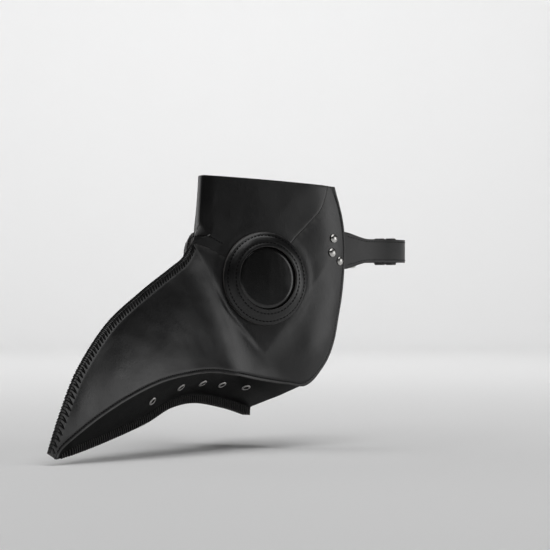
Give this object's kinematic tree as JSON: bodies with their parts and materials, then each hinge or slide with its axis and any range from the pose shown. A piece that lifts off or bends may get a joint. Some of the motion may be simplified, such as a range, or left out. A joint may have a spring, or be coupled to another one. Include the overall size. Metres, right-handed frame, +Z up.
{
  "type": "plague doctor mask",
  "caption": "Full-face leather mask with a long down-curved beak, round smoked goggle lenses, laced ridge and keel, vent eyelets and a buckled head strap.",
  "frame": {"origin": "midway between the wearer's eyes, in the middle plane of the mask, where the head holds it", "axes": "+X to the wearer's left, +Y backwards towards the back of the head, +Z up; the beak points along -Y"},
  "size_m": [0.1536, 0.4693, 0.224],
  "materials": {
    "leather": "black satin synthetic leather",
    "ring_core": "stiff black foam",
    "lens": "smoked, glossy",
    "nickel": "bright nickel plate",
    "thread": "waxed black thread"
  },
  "bodies": {
    "mask": {"side_panel_left": "leather", "side_panel_right": "leather", "forehead_panel": "leather", "underside_panel_left": "leather", "underside_panel_right": "leather", "eye_ring_left": "leather", "eye_ring_right": "leather", "strap_left": "leather", "strap_right": "leather", "keeper_loop_fixed": "leather", "eye_ring_core_left": "ring_core", "eye_ring_core_right": "ring_core", "lens_left": "lens", "lens_right": "lens", "vent_eyelet_left_1": "nickel", "vent_washer_left_1": "nickel", "vent_eyelet_left_2": "nickel", "vent_washer_left_2": "nickel", "vent_eyelet_left_3": "nickel", "vent_washer_left_3": "nickel", "vent_eyelet_left_4": "nickel", "vent_washer_left_4": "nickel", "vent_eyelet_left_5": "nickel", "vent_washer_left_5": "nickel", "rivet_cap_left_1": "nickel", "rivet_post_left_1": "nickel", "rivet_cap_left_2": "nickel", "rivet_post_left_2": "nickel", "rivet_cap_left_3": "nickel", "rivet_post_left_3": "nickel", "vent_eyelet_right_1": "nickel", "vent_washer_right_1": "nickel", "vent_eyelet_right_2": "nickel", "vent_washer_right_2": "nickel", "vent_eyelet_right_3": "nickel", "vent_washer_right_3": "nickel", "vent_eyelet_right_4": "nickel", "vent_washer_right_4": "nickel", "vent_eyelet_right_5": "nickel", "vent_washer_right_5": "nickel", "rivet_cap_right_1": "nickel", "rivet_post_right_1": "nickel", "rivet_cap_right_2": "nickel", "rivet_post_right_2": "nickel", "rivet_cap_right_3": "nickel", "rivet_post_right_3": "nickel", "ridge_lacing": "thread", "keel_lacing": "thread"},
    "buckle_frame": {"buckle_frame": "nickel"},
    "buckle_prong": {"buckle_prong": "nickel"},
    "sliding_keeper": {"keeper_loop_sliding": "leather"}
  },
  "joints": [
    {"name": "buckle_frame_hinge", "type": "hinge", "parent": "mask", "child": "buckle_frame", "pos_m": [0.008, 0.186, 0.024], "axis": [0, 0, -1], "range_deg": [0, 8]},
    {"name": "buckle_prong_hinge", "type": "hinge", "parent": "buckle_frame", "child": "buckle_prong", "pos_m": [0.008, 0.186, 0.024], "axis": [0, 0, -1], "range_deg": [0, 10]},
    {"name": "sliding_keeper_slide", "type": "slide", "parent": "mask", "child": "sliding_keeper", "axis": [1, 0, 0], "range_m": [-0.003, 0.003]}
  ]
}
